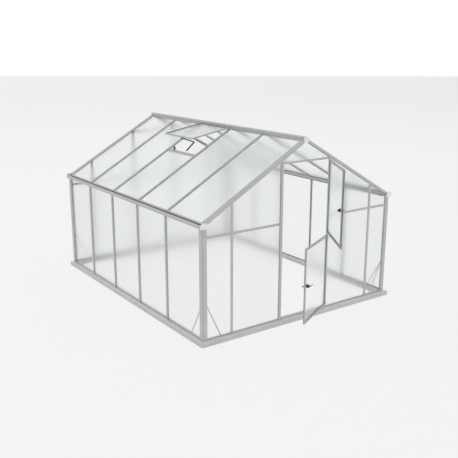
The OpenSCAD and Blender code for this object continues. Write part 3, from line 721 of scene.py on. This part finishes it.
# ------------------------------------------------------------------ stable door
for leaf in ("lower", "upper"):
    z0, z1 = LEAF_Z[leaf]
    hz = HANDLE_Z[leaf]
    body = leaf + "_leaf"

    def p(x, d, z, leaf=leaf):
        return on_leaf(leaf, x, d, z)

    out = p(0, -1, 0) - p(0, 0, 0)
    # gasket round the sheet outside, and glazing bead inside
    gx0, gx1, gz0, gz1 = LIP0 + 0.031, LIP1 - 0.022, z0 + 0.027, z1 - 0.027
    ring = Piece()
    k = LEAF_SEAL
    for d0, d1 in ((-0.0098, -0.0071),):
        for a, b in ((gz0 + 0.0001, gz0 + k), (gz1 - k, gz1 - 0.0001)):
            ring.strip(rect(d0, a, d1, b), lambda d, z, x: p(x, d, z), gx0 + 0.0001, gx1 - 0.0001)
        for a, b in ((gx0 + 0.0001, gx0 + k), (gx1 - k, gx1 - 0.0001)):
            ring.strip(rect(a, d0, b, d1), lambda x, d, z: p(x, d, z), gz0 + k + 0.0001, gz1 - k - 0.0001)
    ix0, ix1, iz0, iz1 = GLASS0, GLASS1, z0 + 0.022, z1 - 0.022
    for a, b in ((iz0 + 0.0001, iz0 + k), (iz1 - k, iz1 - 0.0001)):
        ring.strip([(0.0031, a), (0.0085, a), (0.0060, b), (0.0031, b)] if a < (iz0 + iz1) / 2 else
                   [(0.0031, a), (0.0060, a), (0.0085, b), (0.0031, b)], lambda d, z, x: p(x, d, z), ix0 + 0.0001, ix1 - 0.0001)
    for a, b in ((ix0 + 0.0001, ix0 + k), (ix1 - k, ix1 - 0.0001)):
        ring.strip(rect(a, 0.0031, b, 0.0070), lambda x, d, z: p(x, d, z), iz0 + k + 0.0001, iz1 - k - 0.0001)
    ring.done(leaf + "_leaf_gaskets", seal_mid, body)
    # brush seal behind the lip, along the closing edge and the foot
    brush = Piece()
    brush.strip([(LIP0 + 0.001, -0.0069), (LIP0 + 0.013, -0.0069), (LIP0 + 0.010, -0.0024), (LIP0 + 0.004, -0.0024)],
                lambda x, d, z: p(x, d, z), z0 + 0.006, z1 - 0.006)
    brush.done(leaf + "_leaf_brush", seal_mid, body)
    # corner screws of the frame and screws of the hinge straps and roses
    sc = Piece()
    for x in (LIP0 + 0.015, LIP1 - 0.033):
        for z in (z0 + 0.014, z1 - 0.014):
            sc.screw(p(x, -0.0130, z), out, r=0.0032)
    for z in (z0 + 0.034, z1 - 0.034):
        for dz in (0.0055, 0.0165):
            sc.screw(p(0.3600, -0.0170, z + dz), out, r=0.0030, h=0.0018)
    for w in (math.radians(45), math.radians(225)):
        dx, dz = 0.0160 * math.cos(w), 0.0160 * math.sin(w)
        sc.screw(p(SPX + dx, -0.0110, hz + dz), out, r=0.0026, h=0.0014)
        sc.screw(p(SPX + dx, 0.0070, hz + dz), -out, r=0.0026, h=0.0014)
    sc.done(leaf + "_leaf_screws", bright, body)

    # boss of each rose, round the spindle
    boss = Piece()
    for d0, axis, reach in ((-0.0111, out, 0.0185), (0.0071, -out, 0.0155)):
        boss.tube(p(SPX, d0, hz), axis, ((0.0, 0.0084), (0.0, 0.0215), (0.0040, 0.0205), (reach - 0.0050, 0.0190),
                                         (reach - 0.0015, 0.0170), (reach, 0.0140), (reach, 0.0084)))
    boss.done(leaf + "_leaf_bosses", dark, body, smooth=False)

    # lever handle: turned spindle with collars, and two arms of tapering oval section
    h = Piece()
    h.lathe(p(SPX, 0.0405, hz), out, ((0.0, 0.0050), (0.0010, 0.0072), (0.0055, 0.0076), (0.0105, 0.0076), (0.0140, 0.0070),
                                      (0.0320, 0.0068), (0.0540, 0.0068), (0.0740, 0.0070), (0.0765, 0.0076), (0.0840, 0.0076),
                                      (0.0858, 0.0066), (0.0863, 0.0040)), sides=20)

    def arm_of(points, leaf=leaf):
        """points: (x, d, z, half thickness across d, half height)"""
        rings = []
        for x, d, z, a, b in points:
            rings.append([p(x, d + a * math.cos(w), z + b * math.sin(w)) for w in (2 * math.pi * i / 12 for i in range(12))])
        h.solid(rings)

    arm_of([(SPX + 0.0010, -0.0410, hz, 0.0040, 0.0056), (SPX + 0.0150, -0.0410, hz + 0.0004, 0.0046, 0.0058),
            (SPX + 0.0350, -0.0412, hz + 0.0007, 0.0044, 0.0054), (SPX + 0.0600, -0.0412, hz + 0.0006, 0.0040, 0.0050),
            (SPX + 0.0820, -0.0408, hz + 0.0000, 0.0038, 0.0048), (SPX + 0.0910, -0.0402, hz - 0.0004, 0.0032, 0.0042),
            (SPX + 0.0945, -0.0398, hz - 0.0006, 0.0016, 0.0022)])
    arm_of([(SPX - 0.0010, 0.0350, hz, 0.0050, 0.0066), (SPX - 0.0150, 0.0350, hz, 0.0056, 0.0068),
            (SPX - 0.0400, 0.0350, hz, 0.0052, 0.0064), (SPX - 0.0620, 0.0350, hz, 0.0048, 0.0058),
            (SPX - 0.0695, 0.0350, hz, 0.0036, 0.0044), (SPX - 0.0718, 0.0350, hz, 0.0016, 0.0020)])
    lever = h.done(leaf + "_lever", dark, leaf + "_handle", smooth=True)
    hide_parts(leaf + "_leaf_handle")

# ------------------------------------------------------------------ floor and light
t = Tree("studio_floor")
away = t.add("VectorMath", operation="LENGTH")
t.set(away.inputs[0], t.place)
far = t.remap(away.outputs["Value"], 3.0, 40.0, 0.0, 1.0, smooth=True)
t.set(t.bsdf.inputs["Base Color"], (0.10, 0.10, 0.10, 1.0))
t.bsdf.inputs["Roughness"].default_value = 1.0
t.bsdf.inputs["Specular IOR Level"].default_value = 0.0
across = t.remap(t.dot(rt), -16.0, 22.0, 1.018, 0.972)
shade = t.math("MULTIPLY", t.remap(far, 0.0, 1.0, 0.995, 0.930), across)
grey = t.add("CombineColor", {0: shade, 1: shade, 2: shade})
t.set(t.bsdf.inputs["Emission Color"], grey.outputs[0])
t.bsdf.inputs["Emission Strength"].default_value = 0.82
# the backdrop ends in a straight line 80 m out, square to the view
ahead = Vector((fw.x, fw.y, 0.0)).normalized()
foot_of_eye = Vector((eye.x, eye.y, 0.0))
corners = [foot_of_eye + ahead * a + rt * b for a, b in ((-200, -200), (-200, 200), (79.9, 200), (79.9, -200))]
me = bpy.data.meshes.new("floor")
me.from_pydata([tuple(c) for c in corners], [], [(0, 1, 2, 3)])
me.materials.append(t.mat)
floor = bpy.data.objects.new("floor", me)
scene.collection.objects.link(floor)

world = bpy.data.worlds.new("studio")
scene.world = world
world.use_nodes = True
wt = world.node_tree
bg = wt.nodes["Background"]
wc = wt.nodes.new("ShaderNodeTexCoord")
sep = wt.nodes.new("ShaderNodeSeparateXYZ")
wt.links.new(wc.outputs["Generated"], sep.inputs[0])
ramp = wt.nodes.new("ShaderNodeMapRange")
ramp.inputs["From Min"].default_value = 0.0
ramp.inputs["From Max"].default_value = 1.0
ramp.inputs["To Min"].default_value = 1.10
ramp.inputs["To Max"].default_value = 0.80
wt.links.new(sep.outputs[2], ramp.inputs["Value"])
wt.links.new(ramp.outputs["Result"], bg.inputs["Strength"])
bg.inputs["Color"].default_value = (1.0, 1.0, 1.0, 1.0)
